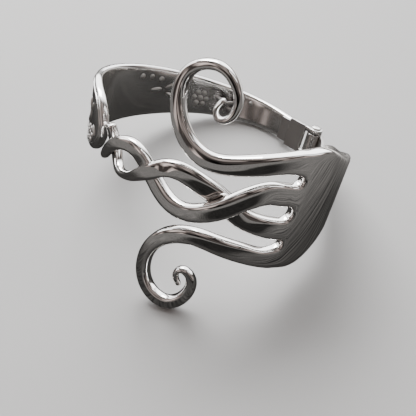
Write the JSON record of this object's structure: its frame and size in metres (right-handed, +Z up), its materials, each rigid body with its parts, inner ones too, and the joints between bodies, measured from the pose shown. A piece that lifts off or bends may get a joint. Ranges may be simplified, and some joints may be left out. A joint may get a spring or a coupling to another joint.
{
  "type": "hinged bracelet",
  "caption": "Hinged cuff bracelet bent from a fork: scrolled and braided tines in front, rounded handle end behind, pin hinge at the neck.",
  "frame": {"origin": "middle of the bounding box in X and Y, on the surface it lies on", "axes": "+Z up from the surface it lies on, -Y towards the front of the bracelet, where the tines are, +X towards the hinge"},
  "size_m": [0.0614, 0.0646, 0.049],
  "materials": {
    "fork_metal": "polished",
    "band_metal": "polished",
    "pin_metal": "satin"
  },
  "bodies": {
    "fork": {"fork_front": "fork_metal"},
    "band": {"back_band": "band_metal", "hinge_pin": "pin_metal"}
  },
  "joints": [
    {"name": "band_hinge", "type": "hinge", "parent": "fork", "child": "band", "pos_m": [0.02236, 0.01736, 0.00435], "axis": [-0.2113, -0.369, -0.9051], "range_deg": [0, 70]}
  ]
}
